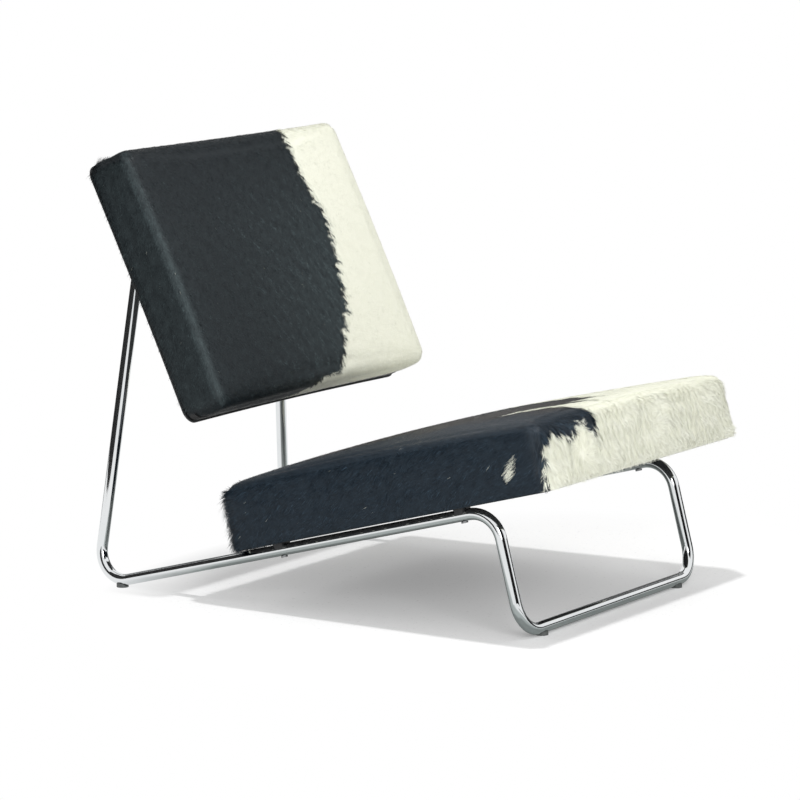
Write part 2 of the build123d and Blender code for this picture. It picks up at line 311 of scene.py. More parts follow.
# Outlines of the seat's black: on its top as x and y, on its front as x and z, on its far side as y and z
SEAT_TOP = [(-0.36, -0.05), (-0.147, -0.05), (-0.143, 0.02), (-0.132, 0.06), (-0.114, 0.10), (-0.122, 0.15),
            (-0.14, 0.182), (-0.104, 0.163), (-0.094, 0.118), (-0.082, 0.083), (-0.057, 0.037), (-0.058, 0.098),
            (-0.009, 0.073), (0.03, 0.13), (0.06, 0.20), (0.09, 0.28), (0.12, 0.38), (0.15, 0.47),
            (0.135, 0.56), (0.16, 0.70), (-0.36, 0.70)]
SEAT_FRONT = [(-0.36, -0.05), (-0.319, -0.05), (-0.315, 0.02), (-0.306, 0.075), (-0.28, 0.091), (-0.25, 0.086),
              (-0.229, 0.076), (-0.207, 0.086), (-0.193, 0.103), (-0.182, 0.090), (-0.163, 0.073), (-0.141, 0.079),
              (-0.138, 0.10), (-0.147, 0.115), (-0.147, 0.16), (-0.36, 0.16)]
SEAT_FAR_SIDE = [(0.455, 0.030), (0.475, 0.014), (0.505, 0.020), (0.530, 0.012), (0.556, 0.032), (0.548, 0.060),
                 (0.522, 0.082), (0.500, 0.070), (0.482, 0.078), (0.466, 0.058)]
SEAT_REAR = 0.146  # x of the black's edge at the rear
ALL_BLACK = 0.05  # depth of the black on the near side, which has no edge
# The white tuft on the seat's near side, as y and z of its two ends
TUFT_FOOT, TUFT_HEAD, TUFT_WIDTH = np.array((0.065, 0.036)), np.array((0.045, 0.0745)), 0.0090
WHORL, WHORL_REACH = np.array((-0.20, 0.045)), 0.042  # x and z on the seat's front
FACES_UP, FACES_END = 0.7, 0.6  # least part of a normal along z or y that counts as that face
# The coat's shade from 0 to 1, with painted shade on the seat's black top and painted light on the back's near
# side and the seat's white top, and how much its strands differ
SEAT_TONE, SEAT_TOP_PAINTED_SHADE_TONE, SEAT_LIVELY = 0.5, 0.43, 0.09
BACK_TONE, BACK_SIDE_PAINTED_LIGHT_TONE, BACK_LIVELY = 0.43, 0.57, 0.13
WHITE_TONE, WHITE_TOP_PAINTED_LIGHT_TONE, WHITE_LIVELY = 0.5, 0.95, 0.07


def inside(points, corners):
    """Signed distance to a closed outline, positive inside it."""
    c = np.array(corners, float)
    best = np.full(len(points), 1e9)
    odd = np.zeros(len(points), bool)
    for p, q in zip(c, np.roll(c, -1, 0)):
        d = q - p
        t = np.clip(((points - p) @ d) / (d @ d), 0, 1)
        best = np.minimum(best, np.linalg.norm(points - p - t[:, None] * d, axis=1))
        crosses = (p[1] > points[:, 1]) != (q[1] > points[:, 1])
        slope = (q[0] - p[0]) * (points[:, 1] - p[1]) / (q[1] - p[1] + 1e-12) + p[0]
        odd ^= crosses & (points[:, 0] < slope)
    return np.where(odd, best, -best)


def facing(n):
    """How much each normal faces each of its pad's faces, adding to one."""
    w = np.stack([n[:, 0], -n[:, 0], n[:, 1], -n[:, 1], n[:, 2]], 1).clip(0) ** 5 + 1e-9
    return w / w.sum(1, keepdims=True)


def toothed(p):
    """How far the back's edge between black and white steps out in tufts that point down to its white side."""
    y = p[:, 1:2]
    place = p[:, 1] / TOOTH_PITCH + 0.5 * ripple(y, 0.09, 71)
    reach = TOOTH_REACH * (1.0 + 0.6 * ripple(y, 0.055, 72)).clip(0.15, 1.8)
    return reach * (0.5 - place % 1)


def white_tuft(p):
    """Share of white hairs in the small tuft on the seat's near side, a flame that thins towards its head."""
    span = TUFT_HEAD - TUFT_FOOT
    size = np.linalg.norm(span)
    off = p[:, 1:] - TUFT_FOOT
    along = off @ span / size**2
    aside = (off[:, 0] * span[1] - off[:, 1] * span[0]) / size
    width = TUFT_WIDTH * rise(along, 1.25, 0.45).clip(0.001) * rise(along, -0.25, 0.15).clip(0.001)
    streaks = 0.5 + 0.5 * np.sin(aside / 0.0006 + 2 * along)
    thin = np.clip(1.5 - 1.1 * along - (0.25 + 0.6 * along.clip(0, 1)) * streaks, 0, 1)
    share = (1.25 - np.abs(aside) / width).clip(0, 1) * thin
    return (1.3 * share).clip(0, 1) * (along < 1.2)


def back_blackness(p, n):
    """Signed distance into the black of the back, across to its edge."""
    edge_y, edge_x = np.array(BACK_EDGE).T
    edge = sum(np.interp(p[:, 1] + d, edge_y, edge_x) for d in BACK_EDGE_ROUND) / len(BACK_EDGE_ROUND)
    edge = edge + toothed(p)
    under = np.interp(p[:, 2], *np.array(BACK_UNDER).T)
    over = BACK_OVER - OVER_SLANT * (BACK["rim"] - p[:, 2]) + 0.006 * ripple(p[:, 2:], 0.03, 75)
    return np.where(n[:, 1] < -FACES_END, under, np.where(n[:, 1] > FACES_END, over, edge)) - p[:, 0]


def blackness(pad, p, n):
    """Signed distance into the black of the hide, for points and normals in the pad's frame."""
    if pad is BACK:
        return back_blackness(p, n)
    each = [None] * 5
    each[FAR_SIDE] = inside(p[:, 1:], SEAT_FAR_SIDE)
    each[NEAR_SIDE] = np.full(len(p), ALL_BLACK)
    each[REAR_END] = SEAT_REAR + 0.012 * ripple(p[:, 2:], 0.06, 74) - p[:, 0]
    each[FRONT_END] = inside(p[:, [0, 2]], SEAT_FRONT)
    each[TOP] = inside(p[:, :2], SEAT_TOP)
    return np.take_along_axis(np.stack(each, 1), facing(n).argmax(1)[:, None], 1)[:, 0]


def spine(p):
    """How brown the black is: a brownish band along the middle of the seat's top."""
    across = p[:, 0] + 0.015 * ripple(p[:, 1:2], 0.16, 73)
    return 0.75 * rise(across, -0.21, -0.12) * rise(across, 0.10, 0) * rise(p[:, 1], 0.01, 0.06)


# The hair's main direction on each face, in the order of the faces
BACK_FLOW = [(0, -0.85, -0.40), (0, -0.80, -0.45), (0.35, 0, 0.9), (0.4, 0, -0.9), (0.50, -0.86, 0)]
SEAT_FLOW = [(0, 0.75, -0.6), (0, 0.85, -0.50), (0.2, 0, -1), (0.35, 0, -0.9), (0.15, -1, 0)]


def lie(pad, n, sway):
    """The direction the hair lies in, along the skin, in the pad's frame."""
    d = facing(n) @ np.array(BACK_FLOW if pad is BACK else SEAT_FLOW, float)
    d = unit(d - n * (d * n).sum(1, keepdims=True))
    c, s = np.cos(sway)[:, None], np.sin(sway)[:, None]
    return d * c + np.cross(n, d) * s


def whorled(p, n, way):
    """The hair's direction on the seat's front, turned outward round a whorl towards its near side."""
    off = p[:, [0, 2]] - WHORL
    far = np.linalg.norm(off, axis=1, keepdims=True) + 1e-9
    spin = off + 0.6 * np.stack([-off[:, 1], off[:, 0]], 1)
    fan = np.stack([spin[:, 0], np.zeros(len(p)), spin[:, 1]], 1) / far
    fan -= n * (fan * n).sum(1, keepdims=True)
    pull = 0.95 * np.exp(-((far / WHORL_REACH) ** 2))
    return unit(way * (1 - pull) + fan * pull)


def tint(pad, p, n):
    """The black coat's shade, with painted shade on the seat's top, painted light on the back's near side and a
    painted highlight along the back's near ridge, and how much its strands differ.
    """
    if pad is SEAT:
        # painted shade: the seat's black top gets a darker tone than its sides
        return np.where(n[:, 2] > FACES_UP, SEAT_TOP_PAINTED_SHADE_TONE, SEAT_TONE), np.full(len(p), SEAT_LIVELY)
    across = rise(p[:, 0], -0.20, 0.10)
    open_side = across * rise(p[:, 1], 0.45, 0.17)
    shade = BACK_TONE + 0.20 * open_side - 0.12 * rise(p[:, 1], 0.30, 0.45) - 0.06 * (1 - across)
    # painted light: the back's near side gets a lighter tone than its front
    shade = np.where(n[:, 0] < -0.9, BACK_SIDE_PAINTED_LIGHT_TONE, shade)
    # painted highlight: the hair is lighter where its normal turns from the back's front to its near side
    painted_ridge_highlight = 0.42 * np.exp(-(((n[:, 0] + 0.70) / 0.26) ** 2)) * (n[:, 2] > 0.3)
    return shade + painted_ridge_highlight, BACK_LIVELY + 0.32 * open_side


# Hair

BARE_FACING, BARE_HEIGHT = -0.45, 0.001  # skin that faces further down, or lies lower, has no hair
SKIN_EDGE = 0.004  # over which black turns to white on the skin
HAIR_SHARE = 0.36  # of the places that keep their hair away from edges, tuft and fringe
EDGE_BAND = 0.010  # each side of an edge between black and white
EDGE_FAN = 0.7 / 0.012  # radians per metre by which a tuft at an edge spreads
TUFT_PITCH = 0.0125
CLUMP, BROAD = 0.020, 0.11  # lengths of the waves in how the hair lies
LOW_BAND = 0.020  # height over which hair counts as low on a side
FRINGE_BAND, FRINGE_FADE = 0.026, 0.018  # at the seat's rear
CORNER_BAND = 0.03  # at the back's upper edge
SEAT_LENGTH, BACK_LENGTH = (0.007, 0.0115), (0.0065, 0.0100)
HAIR_WIDTH = (0.0006, 0.0011)
LIFT, LIFT_SPREAD, LIFT_LIMITS = 0.10, 0.035, (0.03, 0.3)  # radians off the skin
WHITE_STRAYS, BLACK_STRAYS, STRAY_DEPTH = 0.0005, 0.0004, 0.012  # shares, and their distance from an edge
LEAST_LENGTH = 0.002
LONG_HAIR = 0.0129  # from which a hair bends
ROOT_DEPTH = 0.0005
SEAT_STRAND, BACK_STRAND = 0.0065, 0.009  # widths of the strands that differ in shade


def samples(obj, count, seed):
    """Points spread evenly over the object's mesh by area, with their normals."""
    mesh = obj.data
    mesh.calc_loop_triangles()
    tri = np.empty(len(mesh.loop_triangles) * 3, np.int32)
    mesh.loop_triangles.foreach_get("vertices", tri)
    tri = tri.reshape(-1, 3)
    co, no = read(mesh, "co"), read(mesh, "normal")
    a, b, c = (co[tri[:, i]] for i in range(3))
    area = np.linalg.norm(np.cross(b - a, c - a), axis=1) / 2
    edge = np.cumsum(area)
    rng = np.random.default_rng(seed)
    goal = (np.arange(count) + rng.random(count)) / count * edge[-1]
    pick = np.searchsorted(edge, goal).clip(0, len(tri) - 1)
    r1, r2 = np.sqrt(rng.random(count)), rng.random(count)
    bary = np.stack([1 - r1, r1 * (1 - r2), r1 * r2], 1)
    at = sum(bary[:, i, None] * co[tri[pick, i]] for i in range(3))
    normal = sum(bary[:, i, None] * no[tri[pick, i]] for i in range(3))
    return at, unit(normal), rng


def rooted(pad, skin, count, seed):
    """Places and normals of the hairs in the pad's frame, their depth in the black, and their part in the tuft."""
    at, normal, rng = samples(skin, count, seed)
    p, n = to_pad(pad, at), normal @ axes(pad)[0].T
    keep = (n[:, 2] > BARE_FACING) & (p[:, 2] > pad["base"] + BARE_HEIGHT)
    p, n = p[keep], n[keep]
    depth = blackness(pad, p, n) + 0.002 * ripple(p, 0.03, seed + 5)
    tuft = white_tuft(p) * (n[:, 0] < -0.8) * (pad is SEAT)
    fringe = (p[:, 1] > pad["size"][1] - FRINGE_BAND) & (n[:, 2] < 0.6) & (pad is SEAT)
    keep = (np.abs(depth) < EDGE_BAND) | (tuft > 0) | fringe | (rng.random(len(p)) < HAIR_SHARE)
    return p[keep], n[keep], depth[keep], tuft[keep], rng


def mark(mesh, black, shade, brown, tip):
    """Stores the hide's fields on the mesh's points for its material."""
    attr = mesh.attributes.new("hide", "FLOAT_COLOR", "POINT")
    attr.data.foreach_set("color", np.stack([black, shade, brown, tip], 1).astype(np.float32).ravel())


def unfolded(pad, p, face):
    """Places on a flat plan of one side of the pad, in 0 to 1, for the hair's UV map."""
    w, l = pad["size"]
    across, along, up = p[:, 0] / w + 0.5, p[:, 1] / l, p[:, 2] / (pad["rim"] + pad["crown"])
    u = np.choose(face, [along, along, across, across, across])
    v = np.choose(face, [up, up, up, up, along])
    flat = np.stack([0.04 + 0.92 * u, 0.04 + 0.92 * v], 1)
    low = np.choose(face, [0.0, 0.25, 0.5, 0.75, 0.0])
    tall = np.where(face == TOP, 1.0, 0.25)
    flat[:, 1] = low + tall * flat[:, 1]
    return flat.clip(0.001, 0.999)


def tufts(p, side, seed):
    """Hairs gather in tufts: how near each is to its tuft's middle, 0 to 1, and how far beside it."""
    place = (p * side).sum(1) / TUFT_PITCH + 0.45 * ripple(p, 0.045, seed)
    beside = place % 1 - 0.5
    return 1 - 2 * np.abs(beside), beside * TUFT_PITCH


def blades(name, pad, places, face, fields, lean, long):
    """One mesh of hair. A short hair is a slim triangle, and a long one has a bend half way."""
    k = len(places)
    size = places.shape[1]
    v = places.reshape(-1, 3)
    mesh = bpy.data.meshes.new(name)
    mesh.vertices.add(size * k)
    mesh.vertices.foreach_set("co", to_world(pad, v).astype(np.float32).ravel())
    order, starts = ([0, 1, 2, 3, 3, 2, 4], [0, 4]) if long else ([0, 1, 2], [0])
    loops = (size * np.arange(k)[:, None] + np.array(order)).astype(np.int32).ravel()
    begin = (len(order) * np.arange(k)[:, None] + np.array(starts)).astype(np.int32).ravel()
    mesh.loops.add(len(loops))
    mesh.loops.foreach_set("vertex_index", loops)
    mesh.polygons.add(len(begin))
    mesh.polygons.foreach_set("loop_start", begin)
    mesh.update(calc_edges=True)
    mesh.shade_smooth()
    flat = unfolded(pad, v, np.repeat(face, size))
    uv = mesh.uv_layers.new(name="OFBake")
    uv.data.foreach_set("uv", flat[loops].astype(np.float32).ravel())
    black, shade, brown, least = (np.repeat(f, size) for f in fields)
    # the tip field runs from root to tip, and sets how much painted shade a point keeps
    along = np.tile([0.0, 0.0, 0.5, 0.5, 1.0] if long else [0.0, 0.0, 1.0], k)
    mark(mesh, black, shade, brown, np.maximum(along, least))
    mesh.normals_split_custom_set_from_vertices((np.repeat(lean, size, 0) @ axes(pad)[0]).tolist())
    obj = bpy.data.objects.new(name, mesh)
    scene.collection.objects.link(obj)
    return obj


def seat_growth(p, face, rng):
    """Length as a factor, added lift and overhang: longer on the front, and a fringe at the rear."""
    front = face == FRONT_END
    start = SEAT["size"][1] - FRINGE_BAND
    behind = rise(p[:, 1], start, start + FRINGE_FADE) * (face != TOP)
    longer = np.where(front, 1.45, 1.2) * (1 + behind * rng.uniform(0.3, 1.1, len(p)))
    raised = np.where(front, 0.07, np.where(face == TOP, -0.04, 0.02))
    raised = raised + behind * rng.uniform(-0.2, 1.0, len(p)).clip(0)
    past = np.where(front, 0.0035, 0.002) + 0.008 * behind
    return longer, raised, past


def back_growth(p, face, low, rng):
    """Length as a factor, added lift and overhang: a fringe low on the sides and at the upper corners."""
    end = BACK["size"][1]
    corner = rise(p[:, 1], end - CORNER_BAND, end) * low
    flank = low * (face <= NEAR_SIDE)
    longer = 1 + 0.9 * corner + 1.3 * flank * rng.random(len(p))
    raised = flank * rng.uniform(-0.2, 0.5, len(p)).clip(0) + corner * rng.uniform(0.0, 0.7, len(p))
    past = np.where(face == FRONT_END, -0.001, 0.002 + 0.010 * rng.random(len(p))) + 0.006 * corner
    return longer, raised, past


def fur(name, pad, skin, count, seed):
    """Tapered hairs over the pad's sides and top, in pieces by side and by length."""
    p, n, depth, tuft, rng = rooted(pad, skin, count, seed)
    count = len(p)
    seat = pad is SEAT
    w = facing(n)
    face = w.argmax(1)
    front, upper = (face == FRONT_END) & seat, (face == TOP) & seat
    edge = np.abs(depth) < EDGE_BAND
    low = rise(p[:, 2], pad["base"] + LOW_BAND, pad["base"])

    # Which way each hair lies
    clump = ripple(p, CLUMP, seed + 1)
    broad = ripple(p, BROAD, seed + 2)
    combed = lie(pad, n, np.zeros(count))
    middle, beside = tufts(p, np.cross(n, combed), seed + 3)
    loose = np.where(front, 0.50, 0.20) if seat else 0.05
    sway = loose * (0.55 * clump + 0.8 * broad) + rng.normal(0, 0.12, count)
    if not seat:
        sway += 0.75 * low * ((face == FAR_SIDE).astype(float) - (face == NEAR_SIDE))
    way = lie(pad, n, sway - edge * EDGE_FAN * beside)
    way = np.where(front[:, None], whorled(p, n, way), way)

    # Black or white, with the tuft and a few strays
    black = (depth > 0).astype(float)
    stray = rng.random(count)
    pale = (stray < WHITE_STRAYS) & (depth > STRAY_DEPTH)
    black = np.where(pale, 0.2, black)
    plume = rng.random(count) < tuft
    black = np.where(plume, 0.0, black)
    black = np.where((stray < BLACK_STRAYS) & (depth < -STRAY_DEPTH), 0.75, black)
    sleek = (face == TOP) & (black < 0.5)

    # Length, lift off the skin and width
    length = rng.uniform(*(SEAT_LENGTH if seat else BACK_LENGTH), count) * (1 + 0.08 * clump)
    length *= np.where(edge, 0.55 + 0.9 * middle, 1)
    lift = rng.normal(LIFT, LIFT_SPREAD, count).clip(*LIFT_LIMITS)
    lift += np.where(edge, 0.03, 0) + np.where(plume, 0.05, 0)
    width = rng.uniform(*HAIR_WIDTH, count) * np.where(pale | plume, 0.6, 1)
    longer, raised, past = seat_growth(p, face, rng) if seat else back_growth(p, face, low, rng)
    length *= longer
    lift += raised + np.where(w.max(1) < 0.9, 0.03, 0.0)
    down = (-way[:, 2]).clip(0.02)
    length = np.minimum(length, ((p[:, 2] - pad["base"] + past) / down).clip(LEAST_LENGTH))

    # Each blade's roll about its length, its shading normal and its points
    roll = (rng.normal(0, 1, count) * np.where(upper | sleek, 0.12, 0.30))[:, None]
    side = np.cross(way, n)
    side = side * np.cos(roll) + n * np.sin(roll)
    lean = unit(n + side * np.sin(roll) * 0.5 + way * rng.normal(0, 0.08, count)[:, None])
    half = (width / 2)[:, None] * side
    root = p - n * ROOT_DEPTH

    def out(share, turn):
        angle = lift * turn
        return (length * share)[:, None] * (way * np.cos(angle)[:, None] + n * np.sin(angle)[:, None])

    mid = root + out(0.5, 1.25)
    tip = mid + out(0.5, 0.6)
    curved = np.stack([root - half, root + half, mid + half * 0.8, mid - half * 0.8, tip], 1)
    straight = np.stack([root - half, root + half, root + out(1.0, 0.95)], 1)

    # Shade, hair by hair and strand by strand
    brown = spine(p) * (face == TOP) * seat
    strand = np.stack([(p * np.cross(n, combed)).sum(1), (p * combed).sum(1) / 2.6, p[:, 2] / 2], 1)
    fleck = ripple(strand, SEAT_STRAND if seat else BACK_STRAND, seed + 6, 16)
    tone, lively = tint(pad, p, n)
    # painted light: white hair on the seat's top gets a brighter tone
    tone = np.where(black > 0.5, tone, np.where(upper, WHITE_TOP_PAINTED_LIGHT_TONE, WHITE_TONE))
    lively = np.where(black > 0.5, lively, WHITE_LIVELY)
    uneven = np.where(sleek, 0.05, 0.12)
    shade = tone + np.where(front, 0.14, 0.03) * clump + lively * fleck + rng.normal(0, 1, count) * uneven
    # the last field lifts the root end of sleek white hair, so it keeps less painted root shade
    fields = np.stack([black, shade.clip(0, 1), brown, np.where(sleek, 0.6, 0.0)])

    long = (length > LONG_HAIR) & (face != TOP)
    pieces = []
    for part, chosen in (("top", face == TOP), ("sides", (face != TOP) & ~long), ("long", long)):
        if chosen.any():
            bent = part == "long"
            places = (curved if bent else straight)[chosen]
            looks = fields[:, chosen]
            pieces.append(blades(f"{name}_{part}", pad, places, face[chosen], looks, lean[chosen], bent))
    return pieces


def paint_skin(pad, obj, seed):
    """Gives the skin under the hair the same patches and shades."""
    p, n = to_pad(pad, read(obj.data, "co")), read(obj.data, "normal") @ axes(pad)[0].T
    black = (blackness(pad, p, n) / SKIN_EDGE + 0.5).clip(0, 1)
    brown = spine(p) * (n[:, 2] > FACES_UP) * (pad is SEAT)
    shade = np.where(black > 0.5, tint(pad, p, n)[0], WHITE_TONE) + 0.04 * ripple(p, 0.02, seed)
    mark(obj.data, black, shade, brown, np.zeros(len(p)))


# Materials

class Shader:
    """A new node material with a Principled shader, and short calls to add nodes to it."""

    def __init__(self, name):
        self.material = bpy.data.materials.new(name)
        self.material.use_nodes = True
        self.tree = self.material.node_tree
        self.main = self.tree.nodes["Principled BSDF"]
        self.out = self.tree.nodes["Material Output"]
        self.place = self.tree.nodes.new("ShaderNodeTexCoord").outputs["Object"]

    def node(self, kind, **inputs):
        """A new node, with inputs set or linked."""
        n = self.tree.nodes.new(kind)
        for key, value in inputs.items():
            self.feed(n.inputs[key], value)
        return n

    def feed(self, socket, value):
        """Links another node's socket to the input, or sets its value."""
        if isinstance(value, bpy.types.NodeSocket):
            self.tree.links.new(value, socket)
        else:
            socket.default_value = value

    def set(self, **inputs):
        """Sets or links inputs of the Principled shader."""
        for key, value in inputs.items():
            self.feed(self.main.inputs[key.replace("_", " ")], value)

    def noise(self, scale, detail, stretch=None):
        """Noise over the object's own coordinates."""
        where = self.place
        if stretch:
            where = self.node("ShaderNodeMapping", Vector=where, Scale=stretch).outputs["Vector"]
        n = self.node("ShaderNodeTexNoise", Vector=where, Scale=scale, Detail=detail, Roughness=0.55)
        return n.outputs["Fac"]

    def ramp(self, fac, *stops):
        """A colour ramp of two stops, each a position and a colour."""
        n = self.node("ShaderNodeValToRGB", Fac=fac)
        for item, (at, colour) in zip(n.color_ramp.elements, stops):
            item.position = at
            item.color = (*colour, 1)
        return n.outputs["Color"]

    def level(self, fac, low, high):
        """A value of 0 to 1 brought to low to high."""
        n = self.node("ShaderNodeMapRange", Value=fac)
        n.inputs["To Min"].default_value = low
        n.inputs["To Max"].default_value = high
        return n.outputs["Result"]

    def math(self, kind, a, b):
        """A sum, product or power of two values."""
        n = self.tree.nodes.new("ShaderNodeMath")
        n.operation = kind
        self.feed(n.inputs[0], a)
        self.feed(n.inputs[1], b)
        return n.outputs[0]

    def mix(self, fac, a, b, kind="MIX"):
        """A mix of two colours."""
        n = self.tree.nodes.new("ShaderNodeMix")
        n.data_type = "RGBA"
        n.blend_type = kind
        self.feed(n.inputs[0], fac)
        self.feed(n.inputs[6], a if isinstance(a, bpy.types.NodeSocket) else (*a, 1))
        self.feed(n.inputs[7], b if isinstance(b, bpy.types.NodeSocket) else (*b, 1))
        return n.outputs[2]

    def bump(self, height, strength, depth):
        """Bump from a height on the Principled shader."""
        n = self.node("ShaderNodeBump", Height=height, Strength=strength, Distance=depth)
        self.feed(self.main.inputs["Normal"], n.outputs["Normal"])


# White hair from dull to bright, and where it is cloudy
IVORY, BRIGHT_IVORY, CLOUDY_IVORY = (0.80, 0.82, 0.705), (0.93, 0.94, 0.86), (0.86, 0.87, 0.75)
BROWN, PALE_BROWN = (0.014, 0.0125, 0.011), (0.062, 0.050, 0.040)
# Painted shade: hair roots and the skin between the hairs are darkened
ROOT_PAINTED_SHADE, SKIN_PAINTED_SHADE = (0.85, 0.84, 0.80), (0.86, 0.85, 0.82)
# Each pad's black at its deepest and in its painted glints, and how bright its white is: painted light on the
# seat's white, painted shade on the back's
SEAT_COAT = {"deep": (0.004, 0.0085, 0.0150), "glint": (0.085, 0.142, 0.205), "pale": 1.06}
BACK_COAT = {"deep": (0.002, 0.0045, 0.0074), "glint": (0.104, 0.145, 0.157), "pale": 0.965}


def between(a, b, share):
    """The colour that lies a share of the way from one colour to another."""
    return tuple((1 - share) * x + share * y for x, y in zip(a, b))


def hide_material(name, hair, deep, glint, pale):
    """Hair-on hide: patches, hair by hair shade and painted shade at the roots from the mesh, painted shade on the
    skin, streaks from noise.
    """
    s = Shader(name)
    a = s.node("ShaderNodeAttribute")
    a.attribute_name = "hide"
    split = s.node("ShaderNodeSeparateColor", Color=a.outputs["Color"])
    black, shade, brown = split.outputs["Red"], split.outputs["Green"], split.outputs["Blue"]
    tip = a.outputs["Alpha"]
    cloud = s.noise(9, 4)
    fine = s.noise(420, 2)
    tone = s.math("ADD", s.math("MULTIPLY", shade, 0.8), s.math("MULTIPLY", fine, 0.2))
    # pale paints light into the seat's white and shade into the back's
    dull, bright, cloudy = (tuple(pale * x for x in c) for c in (IVORY, BRIGHT_IVORY, CLOUDY_IVORY))
    ivory = s.mix(s.level(cloud, 0.0, 0.35), s.mix(tone, dull, bright), cloudy)
    # the black rises from deep to glint with its tone: its bright flecks are partly the hair's own speckle, partly
    # painted glints
    dark = s.mix(s.math("POWER", tone, 3.0), deep, glint)
    dark = s.mix(s.level(cloud, 0.0, 0.3), dark, between(deep, glint, 0.12))
    dark = s.mix(brown, dark, s.mix(tone, BROWN, PALE_BROWN))
    colour = s.mix(black, ivory, dark)
    if hair:
        # painted shade, darkest at each hair's root
        root = s.mix(1.0, colour, ROOT_PAINTED_SHADE, "MULTIPLY")
        s.set(Base_Color=s.mix(tip, root, colour), Roughness=s.level(shade, 0.32, 0.52))
    else:
        # painted shade on the skin between the hairs
        s.set(Base_Color=s.mix(1.0, colour, SKIN_PAINTED_SHADE, "MULTIPLY"), Roughness=s.level(fine, 0.55, 0.75))
        s.bump(fine, 0.4, 0.001)
    s.main.inputs["Specular IOR Level"].default_value = 0.27
    return s.material


def chrome_material():
    """Chrome plate, a little cloudy and scuffed along the tube."""
    s = Shader("chrome_plate")
    cloud = s.noise(6, 3)
    scuff = s.noise(900, 2, stretch=(1, 0.15, 1))
    s.set(Base_Color=s.ramp(cloud, (0.35, (0.72, 0.745, 0.755)), (0.65, (0.80, 0.815, 0.82))))
    s.set(Roughness=s.level(s.math("MULTIPLY", cloud, scuff), 0.035, 0.10))
    s.main.inputs["Metallic"].default_value = 1.0
    s.bump(scuff, 0.02, 0.0002)
    return s.material


def steel_material():
    """Zinc-plated steel with a fine grain."""
    s = Shader("zinc_steel")
    cloud = s.noise(60, 3)
    grain = s.noise(1500, 2, stretch=(1, 1, 0.1))
    s.set(Base_Color=s.ramp(cloud, (0.3, (0.20, 0.205, 0.21)), (0.7, (0.30, 0.305, 0.31))))
    s.set(Roughness=s.level(grain, 0.24, 0.42))
    s.main.inputs["Metallic"].default_value = 1.0
    s.bump(grain, 0.1, 0.0002)
    return s.material


def plastic_material(name, low, high):
    """Moulded plastic with a fine texture."""
    s = Shader(name)
    cloud = s.noise(40, 2)
    grain = s.noise(1800, 2)
    s.set(Base_Color=s.ramp(cloud, (0.3, low), (0.7, high)))
    s.set(Roughness=s.level(grain, 0.38, 0.55))
    s.bump(grain, 0.25, 0.0003)
    return s.material


def plywood_material(name, low, high):
    """Plywood with its grain along x."""
    s = Shader(name)
    grain = s.noise(14, 5, stretch=(1, 14, 14))
    rings = s.noise(3, 2, stretch=(1, 6, 6))
    grained = s.ramp(grain, (0.3, low), (0.7, high))
    s.set(Base_Color=s.mix(s.level(rings, 0, 0.6), grained, between(low, high, 0.5)))
    s.set(Roughness=s.level(grain, 0.5, 0.7))
    s.bump(grain, 0.15, 0.0005)
    return s.material


def weave_material(name, dark, pale, size, rough):
    """A plain weave of two crossed waves, with fuzz."""
    s = Shader(name)
    across = s.node("ShaderNodeTexWave", Vector=s.place, Scale=size, Distortion=0.6)
    along = s.node("ShaderNodeTexWave", Vector=s.place, Scale=size, Distortion=0.6)
    along.bands_direction = "Y"
    fuzz = s.noise(700, 2)
    weave = s.math("MULTIPLY", across.outputs["Fac"], along.outputs["Fac"])
    tone = s.math("ADD", s.math("MULTIPLY", weave, 0.6), s.math("MULTIPLY", fuzz, 0.4))
    s.set(Base_Color=s.mix(tone, dark, pale), Roughness=s.level(tone, rough, rough + 0.15))
    s.bump(tone, 0.3, 0.0005)
    return s.material


finishes = {
    "chrome": chrome_material(),
    "steel": steel_material(),
    "plastic": plastic_material("saddle_plastic", (0.014, 0.015, 0.016), (0.026, 0.027, 0.029)),
    "glide": plastic_material("glide_plastic", (0.085, 0.092, 0.090), (0.125, 0.132, 0.130)),
    "plywood": plywood_material("birch_ply", (0.48, 0.33, 0.19), (0.66, 0.49, 0.31)),
    "stained": plywood_material("stained_ply", (0.010, 0.010, 0.011), (0.026, 0.025, 0.025)),
    "cloth": weave_material("lining_cloth", (0.010, 0.010, 0.011), (0.035, 0.035, 0.037), 220, 0.75),
    "panel": weave_material("rear_panel_cover", (0.010, 0.011, 0.012), (0.030, 0.032, 0.034), 160, 0.5),
}
# A node takes the finish of the first word that is in its name.
FINISH_OF = (
    ("glide", "glide"),
    ("saddle", "plastic"),
    ("screws", "steel"),
    ("bracket", "steel"),
    ("back_board", "stained"),
    ("seat_board", "plywood"),
    ("cloth", "cloth"),
    ("panel", "panel"),
    ("frame", "chrome"),
)
for node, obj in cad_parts.items():
    for word, finish in FINISH_OF:
        if word in node:
            obj.data.materials.clear()
            obj.data.materials.append(finishes[finish])
            break


# The two pads

def upholster(name, pad, nodes, count, look, seed):
    """One pad: its cushion in place of the solids, and its hair."""
    skin = cushion(f"{name}_cushion", pad)
    paint_skin(pad, skin, seed)
    skin.data.materials.append(hide_material(f"{name}_hide", False, **look))
    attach(skin, "root")
    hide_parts(*nodes)
    coat = hide_material(f"{name}_hair", True, **look)
    for piece in fur(f"{name}_hair", pad, skin, count, seed + 100):
        piece.data.materials.append(coat)
        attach(piece, "root")


upholster("seat", SEAT, ("seat_cover", "seat_foam"), count=760000, look=SEAT_COAT, seed=11)
upholster("back", BACK, ("back_cover", "back_foam"), count=620000, look=BACK_COAT, seed=23)


# Studio

